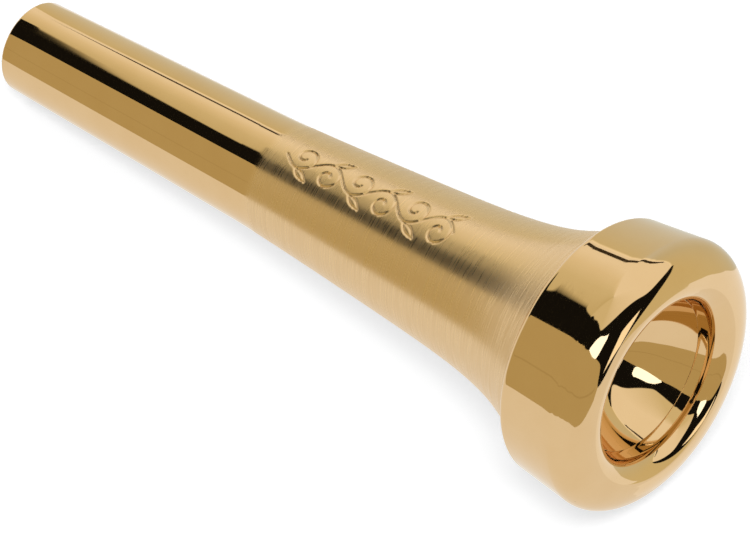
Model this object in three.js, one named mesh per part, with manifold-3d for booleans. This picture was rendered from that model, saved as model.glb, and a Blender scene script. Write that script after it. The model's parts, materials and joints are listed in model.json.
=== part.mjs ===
// Brass trumpet mouthpiece in screwed pieces, in millimetres with +Z up: a stem (shank,
// body and flare), a cup that screws into the stem, a rim that screws onto the cup and
// forms the head, and one O-ring at each thread.
//
// Profiles are lists of [radius, station]. A station is the distance along the bore axis
// from the shank's end. Each profile runs anticlockwise: out along the rear, forward along
// the outside, in along the front and back along the inside.
//
// The mouthpiece lies on z = 0, on the edge of the shank's end and on the side of the head,
// with its axis in the XZ plane and its cup towards +X.

import * as THREE from 'three';
import { mergeVertices } from 'three/addons/utils/BufferGeometryUtils.js';
import Module from 'manifold-3d';

// Facets round each turned surface, with a flat underneath.
const SEGMENTS = 36;
const FACET_ANGLE = 2 * Math.PI / SEGMENTS;
const FLAT_FACTOR = Math.cos(FACET_ANGLE / 2);

// Shank: a 1:20 taper on diameter, as a trumpet receiver takes.
const SHANK_END_RADIUS = 5.0;
const SHANK_TAPER = 0.025;
const SHANK_LENGTH = 33;
const SHANK_CHAMFER = 0.25;

// Body and flare, as points of a smooth curve that leaves the shank's taper.
const FLARE_POINTS = [[6.41, 43.5], [7.02, 52.2], [7.53, 58.7], [8.32, 65.3], [9.68, 70.7]];
const FLARE_END_RADIUS = 11.9;
const FLARE_STEPS = 14;
const FLARE_LEAD = 8;

// Head: the rim's outside. A shallow recess in its rear face clears the flare's edge, and its
// side is in line with the edge of the shank's end, so that it lies flat on a table.
const LENGTH = 85;
const HEAD_REAR = 75.6;
const HEAD_REAR_RADIUS = 13.35;
const HEAD_REAR_FILLET = 0.8;
const REAR_RECESS = { radius: 12.0, depth: 0.2 };
const HEAD_WIDEST = 82.25;
const SIDE_START = HEAD_REAR + HEAD_REAR_FILLET;
const SIDE_SLOPE = (HEAD_REAR_RADIUS - SHANK_END_RADIUS) / (SIDE_START - SHANK_CHAMFER);
const HEAD_RADIUS = HEAD_REAR_RADIUS + SIDE_SLOPE * (HEAD_WIDEST - SIDE_START);
const CROWN_RADIUS = 10.25;
const BITE_RADIUS = 8.35;
const BITE_STATION = 83.5;

// Bore: an ellipsoid bowl with its centre outside the mouth, a throat and an opening backbore.
const BOWL_SIZE = [9.0, 9.5];
const BOWL_CENTRE = 86.44;
const THROAT_RADIUS = 1.83;
const BACKBORE_POINTS = [[4.2, 0], [4.0, 12], [3.4, 32], [2.55, 52], [1.95, 66.2]];

// Gap between two faces that are screwed up against each other.
const SEAM = 0.05;

// Threads: one right-hand form for both joints, and the groove is the ridge moved out.
const PITCH = 1.25;
const THREAD_HEIGHT = 0.4;
const THREAD_CREST_HALF_WIDTH = 0.15;
const THREAD_FLANK_SLOPE = Math.tan(Math.PI / 6);
const THREAD_CLEARANCE = 0.2;
const THREAD_ROOT_DEPTH = 0.15;
const THREAD_RUNOUT = 0.25;
const THREAD_MOUTH = { widening: 0.5, depth: 0.5, leadTurns: 0.3 };

// Joint between stem and cup.
const SOCKET_FLOOR = 66.2;
const SOCKET_FLOOR_GAP = 0.2;
const PILOT_RADIUS = 5.5;
const PILOT_CLEARANCE = 0.25;
const PILOT_END = 70.4;
const SPIGOT_RADIUS = 6.0;
const SPIGOT_THREAD_START = 71.2;
const SPIGOT_TURNS = 3;

// Joint between cup and rim.
const CUP_TOP = 82.3 - SEAM;
const LAND_RADIUS = 10.0;
const LAND_END = 77.5;
const SKIRT_CLEARANCE = 0.2;
const NECK_RADIUS = 9.3;
const NECK_THREAD_START = 78.4;
const NECK_TURNS = 2.5;
const THREAD_RELIEF = 0.7;

// O-rings, with their grooves cut wider and deeper than the rubber.
const O_RING_SECTION = 0.4;
const O_RING_SLACK = 0.1;
const CUP_O_RING = { radius: 5.2, station: 68.4 };
const RIM_O_RING = { radius: 10.55, station: 76.7 };

const STEM_FRONT = HEAD_REAR - SEAM;
const THREAD_STEPS_PER_TURN = SEGMENTS;

const MATERIALS = {
  satinGold: new THREE.MeshStandardMaterial({ color: 0xc9a46a, roughness: 0.38, metalness: 1 }),
  polishedGold: new THREE.MeshStandardMaterial({ color: 0xd9b070, roughness: 0.08, metalness: 1 }),
  blackRubber: new THREE.MeshStandardMaterial({ color: 0x181818, roughness: 0.7, metalness: 0 }),
};

const wasm = await Module();
wasm.setup();

// Points on an elliptical arc round [radius, station], from one angle to another in degrees.
function arc([radius, station], [radialSize, axialSize], fromDegrees, toDegrees, steps) {
  return Array.from({ length: steps + 1 }, (_, step) => {
    const angle = THREE.MathUtils.degToRad(
      THREE.MathUtils.lerp(fromDegrees, toDegrees, step / steps),
    );
    return [radius + radialSize * Math.cos(angle), station + axialSize * Math.sin(angle)];
  });
}

// A solid of revolution about Y from a profile that closes on itself.
function turned(profile) {
  const points = [...profile, profile[0]].map(([radius, station]) => new THREE.Vector2(radius, station));
  const geometry = new THREE.LatheGeometry(points, SEGMENTS, FACET_ANGLE / 2);
  geometry.deleteAttribute('normal');
  geometry.deleteAttribute('uv');
  return mergeVertices(geometry);
}

// A helical ridge with a 60 degree form on a core of the given radius. Turn 0 is at the
// start station, and both ends run out into the core.
function threadRidge(coreRadius, startStation, firstTurn, lastTurn) {
  const root = coreRadius - THREAD_ROOT_DEPTH;
  const steps = Math.round((lastTurn - firstTurn) * THREAD_STEPS_PER_TURN);
  const positions = [];
  const indices = [];
  for (let step = 0; step <= steps; step += 1) {
    const turn = firstTurn + step / THREAD_STEPS_PER_TURN;
    const angle = FACET_ANGLE / 2 + 2 * Math.PI * turn;
    const station = startStation + PITCH * turn;
    const turnsToEnd = Math.min(step, steps - step) / THREAD_STEPS_PER_TURN;
    const fullness = THREE.MathUtils.clamp(turnsToEnd / THREAD_RUNOUT, 0.1, 1);
    const height = fullness * (THREAD_HEIGHT + THREAD_ROOT_DEPTH);
    const crestHalf = THREAD_CREST_HALF_WIDTH;
    const rootHalf = crestHalf + height * THREAD_FLANK_SLOPE;
    const section = [
      [root, -rootHalf],
      [root + height, -crestHalf],
      [root + height, crestHalf],
      [root, rootHalf],
    ];
    for (const [radius, offset] of section) {
      positions.push(radius * Math.sin(angle), station + offset, radius * Math.cos(angle));
    }
  }
  const corner = (step, side) => 4 * step + side % 4;
  for (let step = 0; step < steps; step += 1) {
    for (let side = 0; side < 4; side += 1) {
      const [a, b] = [corner(step, side), corner(step + 1, side)];
      const [c, d] = [corner(step + 1, side + 1), corner(step, side + 1)];
      indices.push(a, b, d, c, d, b);
    }
  }
  indices.push(corner(0, 0), corner(0, 1), corner(0, 2), corner(0, 0), corner(0, 2), corner(0, 3));
  indices.push(
    corner(steps, 0), corner(steps, 2), corner(steps, 1),
    corner(steps, 0), corner(steps, 3), corner(steps, 2),
  );
  const geometry = new THREE.BufferGeometry();
  geometry.setAttribute('position', new THREE.Float32BufferAttribute(positions, 3));
  geometry.setIndex(indices);
  return geometry;
}

function toSolid(geometry) {
  return new wasm.Manifold(new wasm.Mesh({
    numProp: 3,
    vertProperties: new Float32Array(geometry.attributes.position.array),
    triVerts: new Uint32Array(geometry.index.array),
  }));
}

function toGeometry(solid) {
  const mesh = solid.getMesh();
  const geometry = new THREE.BufferGeometry();
  geometry.setAttribute('position', new THREE.BufferAttribute(mesh.vertProperties, 3));
  geometry.setIndex(new THREE.BufferAttribute(mesh.triVerts, 1));
  return geometry;
}

function cut(body, tool) {
  return toGeometry(toSolid(body).subtract(toSolid(tool)));
}

function join(body, ...additions) {
  return toGeometry(additions.reduce((solid, added) => solid.add(toSolid(added)), toSolid(body)));
}

// The outside of body and flare, from the end of the shank's taper to the head.
function flareOutline() {
  const taperRadius = (station) => SHANK_END_RADIUS + SHANK_TAPER * station;
  const lead = SHANK_LENGTH - FLARE_LEAD;
  const curve = new THREE.SplineCurve([
    [taperRadius(lead), lead],
    [taperRadius(SHANK_LENGTH), SHANK_LENGTH],
    ...FLARE_POINTS,
    [FLARE_END_RADIUS, STEM_FRONT],
  ].map(([radius, station]) => new THREE.Vector2(radius, station)));
  return curve.getSpacedPoints(FLARE_STEPS)
    .filter((point) => point.y > SHANK_LENGTH)
    .map((point) => [point.x, point.y]);
}

function stem() {
  const boreRadius = PILOT_RADIUS + PILOT_CLEARANCE;
  const threadMinor = SPIGOT_RADIUS + THREAD_CLEARANCE;
  const mouthRadius = threadMinor + THREAD_MOUTH.widening;
  const body = turned([
    BACKBORE_POINTS[0],
    [SHANK_END_RADIUS - SHANK_CHAMFER, 0],
    [SHANK_END_RADIUS, SHANK_CHAMFER],
    [SHANK_END_RADIUS + SHANK_TAPER * SHANK_LENGTH, SHANK_LENGTH],
    ...flareOutline(),
    [mouthRadius, STEM_FRONT],
    [threadMinor, STEM_FRONT - THREAD_MOUTH.depth],
    [threadMinor, PILOT_END],
    [boreRadius, PILOT_END],
    [boreRadius, SOCKET_FLOOR],
    ...BACKBORE_POINTS.slice(1).reverse(),
  ]);
  const lastTurn = (STEM_FRONT - SPIGOT_THREAD_START) / PITCH + THREAD_RUNOUT;
  return cut(body, threadRidge(threadMinor, SPIGOT_THREAD_START, -THREAD_MOUTH.leadTurns, lastTurn));
}

function cup() {
  const floor = SOCKET_FLOOR + SOCKET_FLOOR_GAP;
  const underside = STEM_FRONT + SEAM;
  const grooveHalf = O_RING_SECTION + O_RING_SLACK;
  const grooveRadius = CUP_O_RING.radius - O_RING_SECTION - O_RING_SLACK;
  const topDegrees = THREE.MathUtils.radToDeg(Math.asin((CUP_TOP - BOWL_CENTRE) / BOWL_SIZE[1]));
  const throatDegrees = THREE.MathUtils.radToDeg(-Math.acos(THROAT_RADIUS / BOWL_SIZE[0]));
  const chamfer = 0.3;
  const body = turned([
    [THROAT_RADIUS, floor],
    [PILOT_RADIUS - chamfer, floor],
    [PILOT_RADIUS, floor + chamfer],
    [PILOT_RADIUS, CUP_O_RING.station - grooveHalf],
    [grooveRadius, CUP_O_RING.station - grooveHalf],
    [grooveRadius, CUP_O_RING.station + grooveHalf],
    [PILOT_RADIUS, CUP_O_RING.station + grooveHalf],
    [PILOT_RADIUS, PILOT_END + chamfer],
    [SPIGOT_RADIUS, PILOT_END + 2 * chamfer],
    [SPIGOT_RADIUS, underside],
    [LAND_RADIUS, underside],
    [LAND_RADIUS, LAND_END],
    [NECK_RADIUS, LAND_END],
    [NECK_RADIUS, CUP_TOP - chamfer],
    [NECK_RADIUS - chamfer, CUP_TOP],
    ...arc([0, BOWL_CENTRE], BOWL_SIZE, topDegrees, throatDegrees, 12),
  ]);
  return join(
    body,
    threadRidge(SPIGOT_RADIUS, SPIGOT_THREAD_START, 0, SPIGOT_TURNS),
    threadRidge(NECK_RADIUS, NECK_THREAD_START, 0, NECK_TURNS),
  );
}

function rim() {
  const skirtRadius = LAND_RADIUS + SKIRT_CLEARANCE;
  const grooveHalf = O_RING_SECTION + O_RING_SLACK;
  const grooveRadius = RIM_O_RING.radius + O_RING_SECTION + O_RING_SLACK;
  const threadMinor = NECK_RADIUS + THREAD_CLEARANCE;
  const reliefRadius = threadMinor + THREAD_MOUTH.widening;
  const shoulder = CUP_TOP + SEAM;
  const wallRadius = BOWL_SIZE[0] * Math.sqrt(1 - ((shoulder - BOWL_CENTRE) / BOWL_SIZE[1]) ** 2);
  const fillet = HEAD_REAR_FILLET;
  const body = turned([
    [skirtRadius, HEAD_REAR + REAR_RECESS.depth],
    [REAR_RECESS.radius, HEAD_REAR + REAR_RECESS.depth],
    [REAR_RECESS.radius, HEAD_REAR],
    ...arc([HEAD_REAR_RADIUS - fillet, HEAD_REAR + fillet], [fillet, fillet], -90, 0, 3),
    ...arc([CROWN_RADIUS, HEAD_WIDEST], [HEAD_RADIUS - CROWN_RADIUS, LENGTH - HEAD_WIDEST], 0, 90, 7),
    ...arc([CROWN_RADIUS, BITE_STATION], [CROWN_RADIUS - BITE_RADIUS, LENGTH - BITE_STATION],
      90, 180, 5).slice(1),
    [wallRadius, shoulder],
    [reliefRadius, shoulder],
    [reliefRadius, shoulder - THREAD_RELIEF],
    [threadMinor, shoulder - THREAD_RELIEF],
    [threadMinor, LAND_END + SKIRT_CLEARANCE],
    [skirtRadius, LAND_END + SKIRT_CLEARANCE],
    [skirtRadius, RIM_O_RING.station + grooveHalf],
    [grooveRadius, RIM_O_RING.station + grooveHalf],
    [grooveRadius, RIM_O_RING.station - grooveHalf],
    [skirtRadius, RIM_O_RING.station - grooveHalf],
  ]);
  const firstTurn = (LAND_END - NECK_THREAD_START) / PITCH - THREAD_RUNOUT;
  const lastTurn = (shoulder - THREAD_RELIEF / 2 - NECK_THREAD_START) / PITCH;
  return cut(body, threadRidge(threadMinor, NECK_THREAD_START, firstTurn, lastTurn));
}

function oRing({ radius, station }) {
  const sides = 8;
  const section = [O_RING_SECTION, O_RING_SECTION];
  return turned(arc([radius, station], section, 0, 360, sides).slice(1));
}

function mesh(name, geometry, material) {
  const piece = new THREE.Mesh(geometry, material);
  piece.name = name;
  return piece;
}

// Turns the pieces' Y axis along the bore of a mouthpiece that rests on its side.
function layDown(pieces) {
  const tilt = Math.atan(SIDE_SLOPE * FLAT_FACTOR);
  const boreAxis = new THREE.Vector3(Math.cos(tilt), 0, Math.sin(tilt));
  const upwards = new THREE.Vector3(-Math.sin(tilt), 0, Math.cos(tilt));
  const sideways = new THREE.Vector3(0, 1, 0);
  const turn = new THREE.Matrix4().makeBasis(upwards, boreAxis, sideways);
  const assembly = new THREE.Group();
  assembly.add(...pieces);
  assembly.quaternion.setFromRotationMatrix(turn);
  const box = new THREE.Box3().setFromObject(assembly, true);
  const centre = box.getCenter(new THREE.Vector3());
  assembly.position.set(-centre.x, -centre.y, -box.min.z);
  assembly.updateMatrixWorld(true);
  return assembly;
}

export default layDown([
  mesh('stem', stem(), MATERIALS.satinGold),
  mesh('cup', cup(), MATERIALS.polishedGold),
  mesh('rim', rim(), MATERIALS.polishedGold),
  mesh('cup_o_ring', oRing(CUP_O_RING), MATERIALS.blackRubber),
  mesh('rim_o_ring', oRing(RIM_O_RING), MATERIALS.blackRubber),
]);
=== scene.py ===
"""Brass trumpet mouthpiece: polished shank, brushed and engraved body, polished rim and cup.

The turned pieces are smooth solids of revolution with cut threads. They stand for the faceted
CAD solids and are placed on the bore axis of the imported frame. Lengths are in millimetres, as
[radius, station] with the station along the bore from the shank's end, unless a name says metres.
"""

import json
import math

import bpy
import numpy as np
from mathutils import Matrix, Vector


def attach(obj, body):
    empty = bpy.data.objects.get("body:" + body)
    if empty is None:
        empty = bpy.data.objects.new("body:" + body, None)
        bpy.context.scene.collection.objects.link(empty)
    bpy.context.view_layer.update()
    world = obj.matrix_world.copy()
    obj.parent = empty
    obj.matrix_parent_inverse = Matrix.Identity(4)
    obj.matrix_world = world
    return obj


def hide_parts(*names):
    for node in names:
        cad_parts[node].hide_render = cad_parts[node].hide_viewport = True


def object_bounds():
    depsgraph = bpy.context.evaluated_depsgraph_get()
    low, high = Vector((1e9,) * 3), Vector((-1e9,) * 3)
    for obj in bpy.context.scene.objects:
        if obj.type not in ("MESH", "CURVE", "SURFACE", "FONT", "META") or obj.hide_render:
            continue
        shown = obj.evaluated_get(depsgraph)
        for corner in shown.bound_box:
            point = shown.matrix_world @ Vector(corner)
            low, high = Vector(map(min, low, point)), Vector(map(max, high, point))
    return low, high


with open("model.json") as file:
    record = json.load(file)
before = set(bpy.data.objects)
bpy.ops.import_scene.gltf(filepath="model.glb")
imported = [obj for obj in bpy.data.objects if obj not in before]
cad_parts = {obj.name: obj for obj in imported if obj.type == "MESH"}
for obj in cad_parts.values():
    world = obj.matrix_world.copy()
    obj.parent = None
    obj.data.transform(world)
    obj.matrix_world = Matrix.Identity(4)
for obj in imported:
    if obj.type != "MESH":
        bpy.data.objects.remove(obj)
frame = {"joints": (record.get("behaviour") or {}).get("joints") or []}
cad_low, cad_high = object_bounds()

MM = 0.001

# ---- Driving dimensions: the CAD part's, with a bowl within 0.2 mm of its bowl ----

SHANK_END_RADIUS = 5.0
SHANK_TAPER = 0.025
SHANK_LENGTH = 33.0
SHANK_EDGE = 0.25

FLARE_POINTS = [[6.41, 43.5], [7.02, 52.2], [7.53, 58.7], [8.32, 65.3], [9.68, 70.7]]
FLARE_END_RADIUS = 11.9
FLARE_EDGE = 0.03
FLARE_LEAD = 8.0

LENGTH = 85.0
HEAD_REAR = 75.6
HEAD_REAR_RADIUS = 13.35
HEAD_REAR_FILLET = 0.8
REAR_RECESS = (12.0, 0.2)
HEAD_WIDEST = 82.25
SIDE_START = HEAD_REAR + HEAD_REAR_FILLET
SIDE_SLOPE = (HEAD_REAR_RADIUS - SHANK_END_RADIUS) / (SIDE_START - SHANK_EDGE)
HEAD_RADIUS = HEAD_REAR_RADIUS + SIDE_SLOPE * (HEAD_WIDEST - SIDE_START)
CROWN_RADIUS = 10.25
BITE_RADIUS = 8.35
BITE_STATION = 83.5

BOWL_SIZE = (9.0, 10.2)
BOWL_CENTRE = 87.14
BOWL_TOP = 83.3
THROAT_RADIUS = 1.83
THROAT_EDGE = 0.12
BACKBORE_POINTS = [[4.2, 0.0], [4.0, 12.0], [3.4, 32.0], [2.55, 52.0], [1.95, 66.2]]
BACKBORE_EDGE = 0.2

SEAM = 0.05
STEM_FRONT = HEAD_REAR - SEAM
SHOULDER = 82.3
CUP_TOP = SHOULDER - 0.01

PITCH = 1.25
THREAD_HEIGHT = 0.4
THREAD_CREST_HALF_WIDTH = 0.15
THREAD_FLANK_SLOPE = math.tan(math.pi / 6)
THREAD_CLEARANCE = 0.2
THREAD_RUNOUT = 0.25
THREAD_MOUTH = 0.5
CORNER_CLEARANCE = 0.1

SOCKET_FLOOR = 66.2
SOCKET_FLOOR_GAP = 0.2
PILOT_RADIUS = 5.5
PILOT_CLEARANCE = 0.25
PILOT_END = 70.4
CUP_CHAMFER = 0.3
SPIGOT_REAR = PILOT_END + 2 * CUP_CHAMFER
SPIGOT_RADIUS = 6.0
SPIGOT_THREAD_START = 71.2
SPIGOT_TURNS = 3.0
SOCKET_THREAD_REAR = PILOT_END + 0.3

LAND_RADIUS = 10.0
LAND_END = 77.5
SKIRT_CLEARANCE = 0.2
NECK_RADIUS = 9.3
NECK_THREAD_START = 78.4
NECK_TURNS = 2.5
THREAD_RELIEF = 0.7
RIM_THREAD_REAR = LAND_END + SKIRT_CLEARANCE
RIM_THREAD_FRONT = SHOULDER - THREAD_RELIEF - 0.06
TURNS_BEYOND = 4

O_RING_SECTION = 0.4
O_RING_SLACK = 0.1
CUP_O_RING = (5.2, 68.4)
RIM_O_RING = (10.55, 76.7)

# ---- How closely the meshes are spaced, in millimetres and degrees ----

PLAIN_ROW = 3.0
THREAD_ROW = 0.065
ENGRAVED_ROW = 0.085
ROWS_SKIPPED_ON_PLAIN_BODY = 8
ENGRAVED_COLUMN_DEGREES = 0.7
PLAIN_COLUMN_DEGREES = 2.5
HEAD_COLUMNS = 240
O_RING_COLUMNS = 96
O_RING_STEPS = 24

# ---- The bore axis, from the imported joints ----

SCREW = next(joint for joint in frame["joints"] if joint["name"] == "cup_turn")
SCREW_STATION = 73.0


def bore_matrix():
    """Local Z along the bore from the shank's end, local X across it and level, in metres."""
    along = Vector(SCREW["axis"]).normalized()
    across = Vector((0.0, 0.0, 1.0)).cross(along).normalized()
    upwards = along.cross(across)
    turn = Matrix((across, upwards, along)).transposed().to_4x4()
    return Matrix.Translation(Vector(SCREW["pos_m"]) - along * SCREW_STATION * MM) @ turn


BORE = bore_matrix()

# ---- Outlines ----


def arc(centre, size, start_degrees, end_degrees, steps):
    """Points on an elliptical arc, from one angle to another."""
    angles = np.radians(np.linspace(start_degrees, end_degrees, steps + 1))
    return [[centre[0] + size[0] * math.cos(a), centre[1] + size[1] * math.sin(a)] for a in angles]


def straight(start, end, step):
    """Points from start up to and including end, no further than step apart."""
    start, end = np.array(start), np.array(end)
    count = max(1, math.ceil(np.linalg.norm(end - start) / step))
    return [list(start + (end - start) * k / count) for k in range(count + 1)]


def rounded(corner, before, after, radius, steps=3):
    """A corner broken by a small round, as points between its two neighbours."""
    corner, before, after = (np.array(point, float) for point in (corner, before, after))
    start = corner + radius * (before - corner) / np.linalg.norm(before - corner)
    end = corner + radius * (after - corner) / np.linalg.norm(after - corner)
    ts = np.linspace(0, 1, steps + 1)
    return [list((1 - t) ** 2 * start + 2 * t * (1 - t) * corner + t**2 * end) for t in ts]


def broken_edges(points, radius=0.08):
    """Points with every corner between the two ends broken, where its edges are long enough."""
    result = [list(points[0])]
    for before, corner, after in zip(points, points[1:], points[2:]):
        shortest = min(math.dist(corner, before), math.dist(corner, after))
        if shortest < 3 * radius:
            result.append(list(corner))
        else:
            result.extend(rounded(corner, before, after, radius))
    return result + [list(points[-1])]


def smooth_curve(points, step):
    """A natural cubic spline of radius over station, through the points."""
    radii, stations = np.array(points, float).T
    gaps = np.diff(stations)
    count = len(points)
    system, target = np.eye(count), np.zeros(count)
    for k in range(1, count - 1):
        system[k, k - 1 : k + 2] = gaps[k - 1], 2 * (gaps[k - 1] + gaps[k]), gaps[k]
        slopes = np.diff(radii)[k - 1 : k + 1] / gaps[k - 1 : k + 1]
        target[k] = 6 * (slopes[1] - slopes[0])
    bend = np.linalg.solve(system, target)

    def radius(station):
        k = min(max(int(np.searchsorted(stations, station)) - 1, 0), count - 2)
        left, right, gap = station - stations[k], stations[k + 1] - station, gaps[k]
        return (
            (bend[k] * right**3 + bend[k + 1] * left**3) / (6 * gap)
            + (radii[k] / gap - bend[k] * gap / 6) * right
            + (radii[k + 1] / gap - bend[k + 1] * gap / 6) * left
        )

    samples = np.arange(stations[0], stations[-1], step)
    return [[radius(s), s] for s in samples] + [[radii[-1], stations[-1]]]


# ---- Relief: radius added to an outline, over station and angle ----


def thread_relief(start_station, turns, runs_out=(True, True)):
    """A right-hand 60 degree thread. It adds to a core's radius, or to a bore's."""

    def relief(station, angle):
        turn = (station - start_station) / PITCH - angle / (2 * math.pi)
        whole = np.round(turn)
        offset = np.abs(turn - whole) * PITCH
        height = THREAD_HEIGHT - (offset - THREAD_CREST_HALF_WIDTH) / THREAD_FLANK_SLOPE
        along = whole + angle / (2 * math.pi)
        fade = np.ones_like(along)
        if runs_out[0]:
            fade = np.minimum(fade, along / THREAD_RUNOUT)
        if runs_out[1]:
            fade = np.minimum(fade, (turns - along) / THREAD_RUNOUT)
        return np.clip(height, 0, THREAD_HEIGHT) * np.clip(fade, 0, 1)

    return relief


def chamfered(relief, chamfer_start, direction):
    """What is left of a bore's relief once a 45 degree chamfer widens the bore. The chamfer starts
    at a station and widens forwards (1) or backwards (-1)."""

    def left_over(station, angle):
        widening = np.clip(direction * (station - chamfer_start), 0, None)
        return np.clip(relief(station, angle) - widening, 0, None)

    return left_over


# ---- Meshes ----


def even_angles(columns):
    return np.linspace(0, 2 * math.pi, columns, endpoint=False)


def lathe(name, outline, angles, reliefs=()):
    """A closed solid of revolution about local Z. reliefs are (first station, last station,
    is_inside, function), and apply to the outline's points in that range, on its outside or
    on its inside."""
    radii, stations = np.array(outline, float).T
    radius = np.repeat(radii[:, None], len(angles), axis=1)
    station = np.repeat(stations[:, None], len(angles), axis=1)
    angle = np.repeat(angles[None, :], len(radii), axis=0)
    forwards = np.roll(stations, -1) - np.roll(stations, 1)
    for first, last, is_inside, relief in reliefs:
        rows = (stations > first) & (stations < last) & ((forwards < 0) == is_inside)
        radius[rows] += relief(station[rows], angle[rows])
    points = np.stack([radius * np.cos(angle), radius * np.sin(angle), station], axis=-1) * MM
    rows, columns = radius.shape
    row, column = np.meshgrid(np.arange(rows), np.arange(columns), indexing="ij")
    next_row, next_column = (row + 1) % rows, (column + 1) % columns
    quads = np.stack(
        [
            row * columns + column,
            row * columns + next_column,
            next_row * columns + next_column,
            next_row * columns + column,
        ],
        axis=-1,
    ).reshape(-1, 4)
    mesh = bpy.data.meshes.new(name)
    mesh.vertices.add(rows * columns)
    mesh.vertices.foreach_set("co", points.reshape(-1))
    mesh.loops.add(len(quads) * 4)
    mesh.loops.foreach_set("vertex_index", quads.reshape(-1))
    mesh.polygons.add(len(quads))
    mesh.polygons.foreach_set("loop_start", np.arange(0, len(quads) * 4, 4))
    mesh.update(calc_edges=True)
    mesh.validate()
    mesh.shade_smooth()
    mesh.set_sharp_from_angle(angle=math.radians(32))
    piece = bpy.data.objects.new(name, mesh)
    bpy.context.scene.collection.objects.link(piece)
    piece.matrix_world = BORE
    return piece


def stand_in(piece, node, body, material):
    """The piece takes the CAD node's place, body and material slot."""
    piece.data.materials.append(material)
    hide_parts(node)
    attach(piece, body)
    return piece


ENGRAVED_STATIONS = (37.3, 62.0)
ENGRAVED_DEGREES = (74.0, 132.0)


def stem_angles():
    """Close columns where the body is engraved, and wider ones elsewhere."""
    low, high = np.radians(ENGRAVED_DEGREES)
    fine = np.arange(low, high, math.radians(ENGRAVED_COLUMN_DEGREES))
    all_round = low + 2 * math.pi - 1e-6
    coarse = np.arange(high, all_round, math.radians(PLAIN_COLUMN_DEGREES))
    return np.concatenate([fine, coarse])


def stem_outline():
    bore_radius = PILOT_RADIUS + PILOT_CLEARANCE
    thread_minor = SPIGOT_RADIUS + THREAD_CLEARANCE
    mouth_radius = thread_minor + THREAD_MOUTH
    mouth_end = [thread_minor, STEM_FRONT - THREAD_MOUTH]
    shank_front = [SHANK_END_RADIUS + SHANK_TAPER * SHANK_LENGTH, SHANK_LENGTH]
    lead = [shank_front[0] - FLARE_LEAD * SHANK_TAPER, SHANK_LENGTH - FLARE_LEAD]
    flare_front = [FLARE_END_RADIUS, STEM_FRONT]
    curve = smooth_curve([lead, shank_front, *FLARE_POINTS, flare_front], ENGRAVED_ROW)
    low, high = ENGRAVED_STATIONS
    body = [
        point
        for index, point in enumerate(curve)
        if point[1] > SHANK_LENGTH
        and (low < point[1] < high or index % ROWS_SKIPPED_ON_PLAIN_BODY == 0)
    ]
    end_edge = rounded(
        [SHANK_END_RADIUS, 0], [BACKBORE_POINTS[0][0], 0], shank_front, SHANK_EDGE, steps=6
    )
    bore_edge = rounded(
        BACKBORE_POINTS[0], BACKBORE_POINTS[1], [SHANK_END_RADIUS, 0], BACKBORE_EDGE, steps=4
    )
    socket = broken_edges(
        [
            [thread_minor, PILOT_END],
            [bore_radius, PILOT_END],
            [bore_radius, SOCKET_FLOOR],
            BACKBORE_POINTS[-1],
        ]
    )
    return (
        bore_edge
        + end_edge
        + straight(end_edge[-1], shank_front, PLAIN_ROW)[1:]
        + body
        + [[FLARE_END_RADIUS - FLARE_EDGE, STEM_FRONT]]
        + straight([mouth_radius, STEM_FRONT], mouth_end, THREAD_ROW)
        + straight(mouth_end, [thread_minor, SOCKET_THREAD_REAR], THREAD_ROW)[1:]
        + socket
        + smooth_curve(BACKBORE_POINTS, PLAIN_ROW)[-2:0:-1]
    )


def bowl_degrees(station):
    """The angle on the bowl's ellipse at a station."""
    return math.degrees(math.asin((station - BOWL_CENTRE) / BOWL_SIZE[1]))


def cup_outline():
    floor = SOCKET_FLOOR + SOCKET_FLOOR_GAP
    underside = STEM_FRONT + SEAM
    groove_half = O_RING_SECTION + O_RING_SLACK
    groove_radius = CUP_O_RING[0] - groove_half
    top_degrees = bowl_degrees(CUP_TOP)
    throat_degrees = -math.degrees(math.acos(THROAT_RADIUS / BOWL_SIZE[0]))
    neck_front = CUP_TOP - CUP_CHAMFER
    pilot = broken_edges(
        [
            [PILOT_RADIUS - CUP_CHAMFER, floor],
            [PILOT_RADIUS, floor + CUP_CHAMFER],
            [PILOT_RADIUS, CUP_O_RING[1] - groove_half],
            [groove_radius, CUP_O_RING[1] - groove_half],
            [groove_radius, CUP_O_RING[1] + groove_half],
            [PILOT_RADIUS, CUP_O_RING[1] + groove_half],
            [PILOT_RADIUS, PILOT_END + CUP_CHAMFER],
            [SPIGOT_RADIUS, SPIGOT_REAR],
        ],
        0.06,
    )[:-1]
    land = broken_edges(
        [
            [SPIGOT_RADIUS, underside],
            [LAND_RADIUS, underside],
            [LAND_RADIUS, LAND_END],
            [NECK_RADIUS, LAND_END],
        ]
    )
    spigot_front = [SPIGOT_RADIUS, underside - CORNER_CLEARANCE]
    neck_rear = [NECK_RADIUS, LAND_END + CORNER_CLEARANCE]
    top = [[NECK_RADIUS, neck_front], [NECK_RADIUS - CUP_CHAMFER, CUP_TOP]]
    bowl = arc([0, BOWL_CENTRE], BOWL_SIZE, top_degrees, throat_degrees, 72)
    throat_end = [THROAT_RADIUS, floor]
    throat_edge = rounded(bowl[-1], bowl[-2], throat_end, THROAT_EDGE, steps=4)
    return (
        pilot
        + straight([SPIGOT_RADIUS, SPIGOT_REAR], spigot_front, THREAD_ROW)
        + land
        + straight(neck_rear, [NECK_RADIUS, neck_front - 0.05], THREAD_ROW)
        + top
        + bowl[:-1]
        + throat_edge
        + straight([THROAT_RADIUS, bowl[-1][1] - 0.5], throat_end, PLAIN_ROW / 2)
    )


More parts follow.
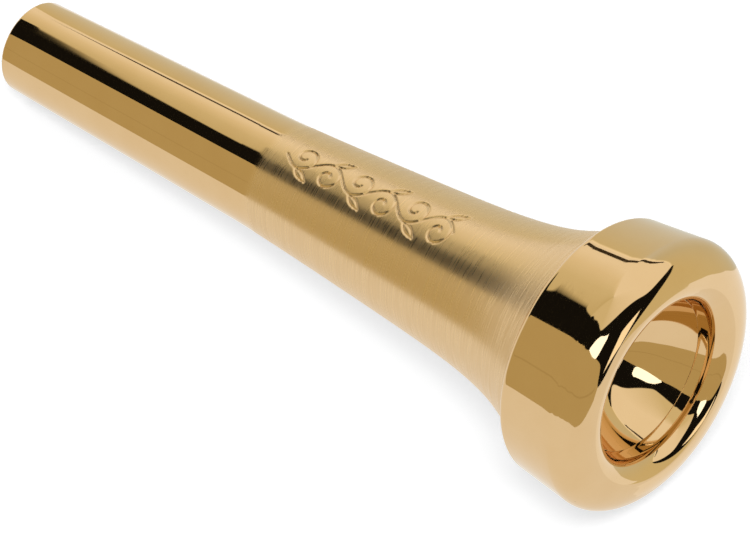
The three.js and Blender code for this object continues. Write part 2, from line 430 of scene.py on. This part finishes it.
def rim_outline():
    skirt_radius = LAND_RADIUS + SKIRT_CLEARANCE
    groove_half = O_RING_SECTION + O_RING_SLACK
    groove_radius = RIM_O_RING[0] + groove_half
    thread_minor = NECK_RADIUS + THREAD_CLEARANCE
    relief_radius = thread_minor + THREAD_MOUTH
    top_degrees, low_degrees = bowl_degrees(BOWL_TOP), bowl_degrees(SHOULDER + 0.05)
    wall = arc([0, BOWL_CENTRE], BOWL_SIZE, top_degrees, low_degrees, 8)
    fillet = HEAD_REAR_FILLET
    rear_centre = [HEAD_REAR_RADIUS - fillet, HEAD_REAR + fillet]
    side = straight([HEAD_REAR_RADIUS, HEAD_REAR + fillet], [HEAD_RADIUS, HEAD_WIDEST], 1.0)
    face = arc(
        [CROWN_RADIUS, HEAD_WIDEST], [HEAD_RADIUS - CROWN_RADIUS, LENGTH - HEAD_WIDEST], 0, 90, 80
    )
    bite = arc(
        [CROWN_RADIUS, BITE_STATION], [CROWN_RADIUS - BITE_RADIUS, LENGTH - BITE_STATION], 90, 180, 48
    )
    shoulder = broken_edges(
        [
            [wall[-1][0], SHOULDER],
            [relief_radius, SHOULDER],
            [relief_radius, SHOULDER - THREAD_RELIEF],
            [thread_minor, SHOULDER - THREAD_RELIEF],
        ],
        0.05,
    )
    skirt = broken_edges(
        [
            [thread_minor + THREAD_MOUTH, RIM_THREAD_REAR],
            [skirt_radius, RIM_THREAD_REAR],
            [skirt_radius, RIM_O_RING[1] + groove_half],
            [groove_radius, RIM_O_RING[1] + groove_half],
            [groove_radius, RIM_O_RING[1] - groove_half],
            [skirt_radius, RIM_O_RING[1] - groove_half],
            [skirt_radius, HEAD_REAR + REAR_RECESS[1]],
            [REAR_RECESS[0], HEAD_REAR + REAR_RECESS[1]],
            [REAR_RECESS[0], HEAD_REAR],
            [HEAD_REAR_RADIUS - fillet, HEAD_REAR],
        ],
        0.06,
    )[:-1]
    mouth_start = [thread_minor, RIM_THREAD_REAR + THREAD_MOUTH]
    return (
        arc(rear_centre, [fillet, fillet], -90, 0, 12)
        + side[1:-1]
        + face
        + bite[1:]
        + wall[:-1]
        + shoulder
        + straight([thread_minor, RIM_THREAD_FRONT], mouth_start, THREAD_ROW)
        + straight(mouth_start, [thread_minor + THREAD_MOUTH, RIM_THREAD_REAR], THREAD_ROW)[1:-1]
        + skirt
    )


def o_ring_outline(centre):
    return arc(centre, [O_RING_SECTION, O_RING_SECTION], 0, 360, O_RING_STEPS)[:-1]


# ---- Engraving: a running scroll cut into the satin body ----

SCROLL_FIRST = 38.4
SCROLL_WAVE = 7.4
SCROLL_WAVES = 3
SCROLL_SWING = 1.1
SCROLL_DEGREES = 104.0
SCROLL_RADIUS = 6.9
GROOVE_HALF_WIDTH = 0.16
GROOVE_DEPTH = 0.13


def scroll_stem():
    """The wavy stem, as [station, offset across it] points."""
    stations = np.linspace(SCROLL_FIRST, SCROLL_FIRST + SCROLL_WAVE * SCROLL_WAVES, 260)
    waves = (stations - SCROLL_FIRST) / SCROLL_WAVE
    return np.stack([stations, SCROLL_SWING * np.sin(2 * math.pi * waves)], axis=1)


def scroll_tendril(crest):
    """A spiral that leaves the stem before a crest and curls up on the crest's hollow side."""
    side = 1 if crest % 2 == 0 else -1
    centre = [SCROLL_FIRST + SCROLL_WAVE * (crest / 2 + 0.28), -side * 0.55]
    turns = np.linspace(0, 1, 120)
    radii = 1.45 - 1.1 * turns
    angles = side * math.radians(35) - side * turns * math.radians(355)
    return np.stack([centre[0] + radii * np.cos(angles), centre[1] + radii * np.sin(angles)], axis=1)


def scroll_leaf(crest):
    """A pointed leaf outside each crest, as its two edges."""
    side = 1 if crest % 2 == 0 else -1
    ts = np.linspace(0, 1, 40)
    start = np.array([SCROLL_FIRST + SCROLL_WAVE * (crest / 2 + 0.25), side * (SCROLL_SWING + 0.1)])
    along = start + np.outer(ts, [1.9, side * 0.95])
    across = np.outer(0.38 * np.sin(math.pi * ts) * (1 - 0.4 * ts), [-side * 0.45, 0.89])
    return np.concatenate([along + across, along - across])


def scroll_points():
    crests = range(2 * SCROLL_WAVES)
    parts = [scroll_stem()]
    parts += [scroll_tendril(crest) for crest in crests]
    parts += [scroll_leaf(crest) for crest in crests]
    return np.concatenate(parts)


def engraving(station, angle):
    """The cut's depth below the body, as a negative addition to its radius."""
    across = (angle - math.radians(SCROLL_DEGREES)) * SCROLL_RADIUS
    curve = scroll_points()
    nearest = np.full(station.shape, 1e9)
    flat = np.stack([station.ravel(), across.ravel()], axis=1)
    for chunk in np.array_split(np.arange(len(flat)), 24):
        gaps = flat[chunk][:, None, :] - curve[None, :, :]
        nearest.ravel()[chunk] = np.sqrt((gaps**2).sum(axis=2).min(axis=1))
    depth = 1 - nearest / GROOVE_HALF_WIDTH
    return -GROOVE_DEPTH * np.clip(depth, 0, 1) ** 0.8


# ---- Materials ----

GOLD = (0.77, 0.53, 0.28)
GOLD_DEEP = (0.72, 0.47, 0.225)
GOLD_SATIN = (0.80, 0.56, 0.305)
BUMP_DEPTH = 0.02 * MM


def node_of(tree, kind, **settings):
    node = tree.nodes.new(kind)
    for name, value in settings.items():
        setattr(node, name, value)
    return node


def feed(tree, value, socket):
    """The socket takes a value, or another node's output."""
    if hasattr(value, "node"):
        tree.links.new(value, socket)
    else:
        socket.default_value = value


def local_noise(tree, stretch, detail=3.0, roughness=0.6):
    """Noise over the piece's own coordinates, stretch being its cycles per metre on each axis."""
    coordinates = node_of(tree, "ShaderNodeTexCoord")
    mapping = node_of(tree, "ShaderNodeMapping")
    mapping.inputs["Scale"].default_value = stretch
    noise = node_of(tree, "ShaderNodeTexNoise")
    noise.inputs["Scale"].default_value = 1.0
    noise.inputs["Detail"].default_value = detail
    noise.inputs["Roughness"].default_value = roughness
    tree.links.new(coordinates.outputs["Object"], mapping.inputs["Vector"])
    tree.links.new(mapping.outputs["Vector"], noise.inputs["Vector"])
    return noise.outputs["Fac"]


def spread(tree, factor, from_range, to_range, smooth=False):
    """factor taken from one range to another, and held at the ends."""
    node = node_of(tree, "ShaderNodeMapRange", clamp=True)
    node.interpolation_type = "SMOOTHSTEP" if smooth else "LINEAR"
    for name, value in zip(("From Min", "From Max", "To Min", "To Max"), (*from_range, *to_range)):
        feed(tree, value, node.inputs[name])
    tree.links.new(factor, node.inputs["Value"])
    return node.outputs["Result"]


def station_of(tree):
    """The station along the bore, in millimetres."""
    coordinates = node_of(tree, "ShaderNodeTexCoord")
    parts = node_of(tree, "ShaderNodeSeparateXYZ")
    scale = node_of(tree, "ShaderNodeMath", operation="DIVIDE")
    scale.inputs[1].default_value = MM
    tree.links.new(coordinates.outputs["Object"], parts.inputs["Vector"])
    tree.links.new(parts.outputs["Z"], scale.inputs[0])
    return scale.outputs["Value"]


def blend_colours(tree, factor, low, high):
    """low turned to high by the factor. low is a colour or another node's output."""
    node = node_of(tree, "ShaderNodeMix", data_type="RGBA")
    feed(tree, low if hasattr(low, "node") else (*low, 1.0), node.inputs["A"])
    node.inputs["B"].default_value = (*high, 1.0)
    tree.links.new(factor, node.inputs["Factor"])
    return node.outputs["Result"]


def multiply(tree, first, second):
    node = node_of(tree, "ShaderNodeMath", operation="MULTIPLY")
    for socket, value in zip(node.inputs, (first, second)):
        feed(tree, value, socket)
    return node.outputs["Value"]


def bumped(tree, shader, height, strength, distance):
    """The shader's surface raised by height. distance is metres for a height of one."""
    bump = node_of(tree, "ShaderNodeBump")
    bump.inputs["Distance"].default_value = distance
    feed(tree, strength, bump.inputs["Strength"])
    tree.links.new(height, bump.inputs["Height"])
    tree.links.new(bump.outputs["Normal"], shader.inputs["Normal"])


def new_material(name):
    material = bpy.data.materials.new(name)
    material.use_nodes = True
    return material, material.node_tree, material.node_tree.nodes["Principled BSDF"]


def polished_gold():
    """Lacquer-bright gold plate: faint cloudiness, and turning lines that only just show."""
    material, tree, shader = new_material("polished_gold")
    shader.inputs["Metallic"].default_value = 1.0
    clouds = local_noise(tree, (260, 260, 260))
    colour = blend_colours(tree, spread(tree, clouds, (0.35, 0.65), (0.0, 0.25)), GOLD, GOLD_DEEP)
    tree.links.new(colour, shader.inputs["Base Color"])
    wiped = local_noise(tree, (900, 900, 2500))
    tree.links.new(spread(tree, wiped, (0.4, 0.7), (0.02, 0.06)), shader.inputs["Roughness"])
    lines = local_noise(tree, (120, 120, 9000), detail=1.0)
    bumped(tree, shader, lines, 0.006, BUMP_DEPTH)
    return material


SATIN_START = 35.4
SATIN_FULL = 36.8


def satin_gold():
    """Gold plate that is polished on the shank and brushed round the axis on the body."""
    material, tree, shader = new_material("satin_gold")
    shader.inputs["Metallic"].default_value = 1.0
    shader.inputs["Anisotropic"].default_value = 0.85
    shader.inputs["Anisotropic Rotation"].default_value = 0.25
    tangent = node_of(tree, "ShaderNodeTangent", direction_type="RADIAL", axis="Z")
    tree.links.new(tangent.outputs["Tangent"], shader.inputs["Tangent"])

    satin = spread(tree, station_of(tree), (SATIN_START, SATIN_FULL), (0.0, 1.0), smooth=True)
    strokes = local_noise(tree, (230, 230, 9000), detail=2.0)
    clouds = local_noise(tree, (220, 220, 220))

    plate = blend_colours(tree, spread(tree, clouds, (0.35, 0.65), (0.0, 0.3)), GOLD, GOLD_DEEP)
    colour = blend_colours(tree, satin, plate, GOLD_SATIN)
    tree.links.new(colour, shader.inputs["Base Color"])
    brushed = spread(tree, strokes, (0.35, 0.7), (0.25, 0.40))
    roughness = spread(tree, satin, (0.0, 1.0), (0.04, brushed))
    tree.links.new(roughness, shader.inputs["Roughness"])
    bumped(tree, shader, strokes, multiply(tree, satin, 0.55), BUMP_DEPTH)
    return material


def black_rubber():
    material, tree, shader = new_material("black_rubber")
    grain = local_noise(tree, (4000, 4000, 4000))
    colour = blend_colours(tree, grain, (0.012, 0.012, 0.013), (0.03, 0.03, 0.032))
    tree.links.new(colour, shader.inputs["Base Color"])
    tree.links.new(spread(tree, grain, (0.3, 0.7), (0.5, 0.7)), shader.inputs["Roughness"])
    bumped(tree, shader, grain, 0.3, BUMP_DEPTH)
    return material


# ---- Assembly ----


def build_object():
    """The five pieces on their bodies. The threads in the bores run on beyond those on the cores."""
    satin, polished, rubber = satin_gold(), polished_gold(), black_rubber()
    angles = even_angles(HEAD_COLUMNS)
    ring_angles = even_angles(O_RING_COLUMNS)

    socket_turns, rim_turns = SPIGOT_TURNS + TURNS_BEYOND, NECK_TURNS + TURNS_BEYOND
    socket_thread = thread_relief(SPIGOT_THREAD_START, socket_turns, (True, False))
    socket_thread = chamfered(socket_thread, STEM_FRONT - THREAD_MOUTH, 1)
    spigot_thread = thread_relief(SPIGOT_THREAD_START, SPIGOT_TURNS)
    neck_thread = thread_relief(NECK_THREAD_START, NECK_TURNS)
    rim_thread = thread_relief(NECK_THREAD_START, rim_turns, (False, False))
    rim_thread = chamfered(rim_thread, RIM_THREAD_REAR + THREAD_MOUTH, -1)

    stem = lathe(
        "turned_stem",
        stem_outline(),
        stem_angles(),
        [
            (*ENGRAVED_STATIONS, False, engraving),
            (SOCKET_THREAD_REAR, STEM_FRONT, True, socket_thread),
        ],
    )
    cup = lathe(
        "turned_cup",
        cup_outline(),
        angles,
        [
            (SPIGOT_REAR, STEM_FRONT - CORNER_CLEARANCE, False, spigot_thread),
            (LAND_END + CORNER_CLEARANCE, CUP_TOP - CUP_CHAMFER, False, neck_thread),
        ],
    )
    rim = lathe(
        "turned_rim", rim_outline(), angles, [(RIM_THREAD_REAR, RIM_THREAD_FRONT, True, rim_thread)]
    )
    stand_in(stem, "stem", "stem", satin)
    stand_in(cup, "cup", "cup", polished)
    stand_in(rim, "rim", "rim", polished)
    for name, node, body, centre in (
        ("cup_seal_ring", "cup_o_ring", "cup_seal", CUP_O_RING),
        ("rim_seal_ring", "rim_o_ring", "rim_seal", RIM_O_RING),
    ):
        ring = lathe(name, o_ring_outline(centre), ring_angles)
        stand_in(ring, node, body, rubber)


build_object()

# ---- Studio ----

CAMERA_AZIMUTH = 42.28
CAMERA_ELEVATION = 45.52
CAMERA_LENS = 206.4
SHANK_RIGHT, SHANK_UP, SHANK_AWAY = -35.304, 23.035, 447.64


def place_camera():
    """The camera looks down from its azimuth, with the shank's end that far right of, above and in
    front of it, in millimetres."""
    azimuth, elevation = math.radians(CAMERA_AZIMUTH), math.radians(CAMERA_ELEVATION)
    right = Vector((math.cos(azimuth), math.sin(azimuth), 0.0))
    level = Vector((-math.sin(azimuth), math.cos(azimuth), 0.0))
    forward = math.cos(elevation) * level - Vector((0.0, 0.0, math.sin(elevation)))
    upwards = right.cross(forward)
    shank_end = BORE.translation
    place = shank_end - (SHANK_RIGHT * right + SHANK_UP * upwards + SHANK_AWAY * forward) * MM
    data = bpy.data.cameras.new("camera")
    data.lens = CAMERA_LENS
    data.clip_start = 0.01
    camera = bpy.data.objects.new("camera", data)
    camera.matrix_world = Matrix.Translation(place) @ (
        Matrix((right, upwards, -forward)).transposed().to_4x4()
    )
    bpy.context.scene.collection.objects.link(camera)
    bpy.context.scene.camera = camera


place_camera()


def toward(azimuth_degrees, elevation_degrees):
    """A direction by its angle from the camera's side, positive to the camera's right, and height."""
    azimuth, elevation = math.radians(azimuth_degrees), math.radians(elevation_degrees)
    camera = math.radians(CAMERA_AZIMUTH)
    right = Vector((math.cos(camera), math.sin(camera), 0.0))
    nearer = Vector((math.sin(camera), -math.cos(camera), 0.0))
    level = math.cos(azimuth) * nearer + math.sin(azimuth) * right
    return math.cos(elevation) * level + Vector((0.0, 0.0, math.sin(elevation)))


def glow(name):
    """A light of its own whose colour is painted on the mesh. It is dark to light that comes by
    way of a matt surface, so the cards' reflections don't fill in the shadow on the floor."""
    material = bpy.data.materials.new(name)
    material.use_nodes = True
    tree = material.node_tree
    tree.nodes.clear()
    paint = node_of(tree, "ShaderNodeVertexColor", layer_name="paint")
    emission = node_of(tree, "ShaderNodeEmission")
    output = node_of(tree, "ShaderNodeOutputMaterial")
    path = node_of(tree, "ShaderNodeLightPath")
    direct = node_of(tree, "ShaderNodeMath", operation="LESS_THAN")
    direct.inputs[1].default_value = 0.5
    tree.links.new(path.outputs["Diffuse Depth"], direct.inputs[0])
    tree.links.new(direct.outputs[0], emission.inputs["Strength"])
    tree.links.new(paint.outputs["Color"], emission.inputs["Color"])
    tree.links.new(emission.outputs["Emission"], output.inputs["Surface"])
    return material


HEAD = BORE @ Vector((0.0, 0.0, LENGTH * MM))
CARD_LEVELS = 8


def eased(edge, reach=3):
    """A card's edge with its corners rounded."""
    padded = np.concatenate([np.full(reach, edge[0]), edge, np.full(reach, edge[-1])])
    return np.convolve(padded, np.full(2 * reach + 1, 1 / (2 * reach + 1)), mode="valid")


def painted(columns, colours):
    """The colour at each azimuth, from [azimuth, colour] stops."""
    stops, stop_colours = zip(*colours)
    bands = [np.interp(columns, stops, band) for band in zip(*stop_colours)]
    return np.stack([*bands, np.ones_like(columns)], axis=1)


def card(name, strip, colours, distance, fringe=0.0, fringe_colours=None):
    """A card that only reflections see.

    strip is [azimuth, lowest, highest] columns in degrees from the head, and colours is
    [azimuth, colour] along it. The top edge can fade to fringe_colours over fringe degrees.
    distance is in metres.
    """
    azimuths, lows, highs = np.array(strip, float).T
    columns = np.arange(azimuths[0], azimuths[-1] + 0.9, 1.0).clip(azimuths[0], azimuths[-1])
    low, high = (eased(np.interp(columns, azimuths, edge)) for edge in (lows, highs))
    shares = np.linspace(0, 1, CARD_LEVELS)
    heights = [low + share * (high - low) for share in shares]
    paint = [painted(columns, colours) for _ in shares]
    if fringe:
        heights.append(high + fringe)
        paint.append(painted(columns, fringe_colours))
    points = [
        HEAD + distance * toward(azimuth, elevation)
        for row in heights
        for azimuth, elevation in zip(columns, row)
    ]
    count = len(columns)
    faces = [
        (count * j + k, count * j + k + 1, count * (j + 1) + k + 1, count * (j + 1) + k)
        for j in range(len(heights) - 1)
        for k in range(count - 1)
    ]
    mesh = bpy.data.meshes.new(name)
    mesh.from_pydata(points, [], faces)
    layer = mesh.color_attributes.new("paint", "FLOAT_COLOR", "POINT")
    layer.data.foreach_set("color", np.concatenate(paint).reshape(-1))
    mesh.materials.append(glow(name))
    panel = bpy.data.objects.new(name, mesh)
    bpy.context.scene.collection.objects.link(panel)
    panel.visible_camera = False
    panel.visible_diffuse = False
    panel.visible_shadow = False
    panel.visible_transmission = False


PAPER = (0.92, 0.93, 0.92)
BRIGHT_PAPER = (1.0, 1.03, 1.05)
EDGE_LIGHT = (1.2, 1.2, 1.1)
KHAKI = (0.80, 0.77, 0.57)
CREAM = (0.92, 0.89, 0.74)
WARM_WHITE = (1.02, 1.02, 0.97)
HAZE = (0.70, 0.66, 0.44)
TAN = (0.57, 0.49, 0.27)
TAN_FOLD = (0.50, 0.42, 0.22)
OLIVE = (0.75, 0.71, 0.48)
GREIGE = (0.69, 0.71, 0.61)
COOL_GREY = (0.72, 0.78, 0.80)
SOFTBOX = (1.9, 2.2, 2.6)
STRIP_LIGHT = (1.3, 1.3, 1.2)
BROWN = (0.05, 0.04, 0.025)
BLACK = (0.008, 0.008, 0.008)


def studio_cards():
    card("paper", [(-180, -89.5, 12), (180, -89.5, 12)], [(0, PAPER)], 1.60)
    card(
        "bright_paper",
        [(92, -42, -30), (97, -55, -25), (115, -62, -24), (140, -60, -31), (172, -50, -43)],
        [(0, BRIGHT_PAPER)],
        1.40,
    )
    card(
        "overhead",
        [(-180, 10, 89.5), (180, 10, 89.5)],
        [
            (-180, WARM_WHITE),
            (-164, WARM_WHITE),
            (-154, CREAM),
            (-140, KHAKI),
            (-112, HAZE),
            (-100, KHAKI),
            (20, KHAKI),
            (75, WARM_WHITE),
            (180, WARM_WHITE),
        ],
        1.50,
    )
    card(
        "front_board",
        [
            (-108, -20, 36),
            (-92, -18, 37),
            (-77, -15, 43),
            (-60, -9, 49),
            (-30, -6, 51),
            (-10, -8, 47),
            (10, -13, 40),
            (30, -21, 20),
            (45, -24, 8),
            (64, -26, -18),
        ],
        [(0, TAN)],
        1.35,
    )
    card(
        "front_board_fold",
        [(-100, 2, 3), (-77, 6, 7), (-50, 14.5, 15.5), (-30, 15.5, 16.5), (0, 9, 10), (58, -20, -19)],
        [(0, TAN_FOLD)],
        1.34,
    )
    card(
        "back_board",
        [
            (77, -25, -2),
            (84, -30, 6),
            (92, -37, 11),
            (99, -40, 17),
            (110, -41, 30),
            (120, -41, 39),
            (130, -40, 44),
            (150, -39, 45.5),
            (160, -40, 43),
            (170, -40, 39),
            (180, -20, 32),
            (190, -8, 23),
        ],
        [(95, OLIVE), (135, GREIGE), (165, COOL_GREY), (190, OLIVE)],
        1.45,
        fringe=2.5,
        fringe_colours=[(0, EDGE_LIGHT)],
    )
    card(
        "back_board_edge",
        [
            (110, 32, 34.5),
            (116, 40, 43),
            (124, 45, 48),
            (135, 48.5, 51.5),
            (150, 49, 51.5),
            (160, 47, 50),
            (170, 42.5, 45.5),
            (180, 36.5, 39.5),
            (187, 30.5, 33.5),
            (194, 27, 30),
        ],
        [(0, BROWN)],
        1.33,
    )
    card(
        "flag",
        [
            (-138, 34, 38),
            (-133, 20, 40.2),
            (-125, 12, 40.0),
            (-119, 12, 39.6),
            (-114, 12, 42.5),
            (-107, 20, 47),
            (-103, 26, 52),
            (-99, 30, 56),
            (-95, 32, 59),
            (-90, 34.5, 61.5),
            (-80, 41.5, 64),
            (-60, 47, 67.5),
            (-40, 49.5, 69),
            (-20, 48, 68),
            (0, 41, 63),
            (10, 37, 58),
            (20, 29, 50),
            (26, 23, 44),
            (40, 9.5, 38.5),
            (52, -5, 33),
            (62, -22, 27.5),
            (70, -26, 20),
            (76, -27, 9),
            (79, -10, 9),
            (86, 2.5, 12),
            (93, 10, 15),
            (99, 16.5, 17.5),
        ],
        [(0, BLACK)],
        1.25,
        fringe=1.0,
        fringe_colours=[(-110, HAZE), (-90, KHAKI), (20, KHAKI), (70, CREAM)],
    )
    card(
        "softbox",
        [(12, 36, 37.5), (22, 27, 38.5), (32, 17, 35), (40, 9.5, 27), (47, 17, 20)],
        [(0, SOFTBOX)],
        1.20,
    )
    card("strip_light", [(65, -20, -4), (74, -22, -6)], [(0, STRIP_LIGHT)], 1.20)


FLOOR_REACH = 6.0
FLOOR_WHITE = 0.9
FLOOR_GLOW = 0.73
SKY_GLOW = 0.22
KEY_SIZE = 0.35
KEY_POWER = 2.6
KEY_DIRECTION = (-8, 60)


def floor():
    """A plain pale floor at the height that the object lies on. It glows a little, to keep the
    shadow faint, and reflections see the paper card in its place."""
    mesh = bpy.data.meshes.new("floor")
    corners = [(-1, -1), (1, -1), (1, 1), (-1, 1)]
    points = [(FLOOR_REACH * x, FLOOR_REACH * y, cad_low[2]) for x, y in corners]
    mesh.from_pydata(points, [], [(0, 1, 2, 3)])
    material, _, shader = new_material("floor")
    shader.inputs["Base Color"].default_value = (FLOOR_WHITE, FLOOR_WHITE, FLOOR_WHITE, 1.0)
    shader.inputs["Roughness"].default_value = 0.8
    shader.inputs["Specular IOR Level"].default_value = 0.0
    shader.inputs["Emission Color"].default_value = (1.0, 1.0, 1.0, 1.0)
    shader.inputs["Emission Strength"].default_value = FLOOR_GLOW
    mesh.materials.append(material)
    ground = bpy.data.objects.new("floor", mesh)
    ground.visible_glossy = False
    bpy.context.scene.collection.objects.link(ground)


def daylight():
    """Even white light from all round, and a broad soft light above the camera."""
    world = bpy.data.worlds.new("studio")
    world.use_nodes = True
    background = world.node_tree.nodes["Background"]
    background.inputs["Color"].default_value = (1.0, 1.0, 1.0, 1.0)
    background.inputs["Strength"].default_value = SKY_GLOW
    bpy.context.scene.world = world

    data = bpy.data.lights.new("key", "AREA")
    data.shape = "DISK"
    data.size = KEY_SIZE
    data.energy = KEY_POWER
    light = bpy.data.objects.new("key", data)
    away = toward(*KEY_DIRECTION)
    light.location = HEAD + away
    light.rotation_euler = (-away).to_track_quat("-Z", "Y").to_euler()
    light.visible_glossy = False
    bpy.context.scene.collection.objects.link(light)


floor()
studio_cards()
daylight()

scene = bpy.context.scene
scene.view_settings.view_transform = "Standard"
scene.view_settings.look = "None"
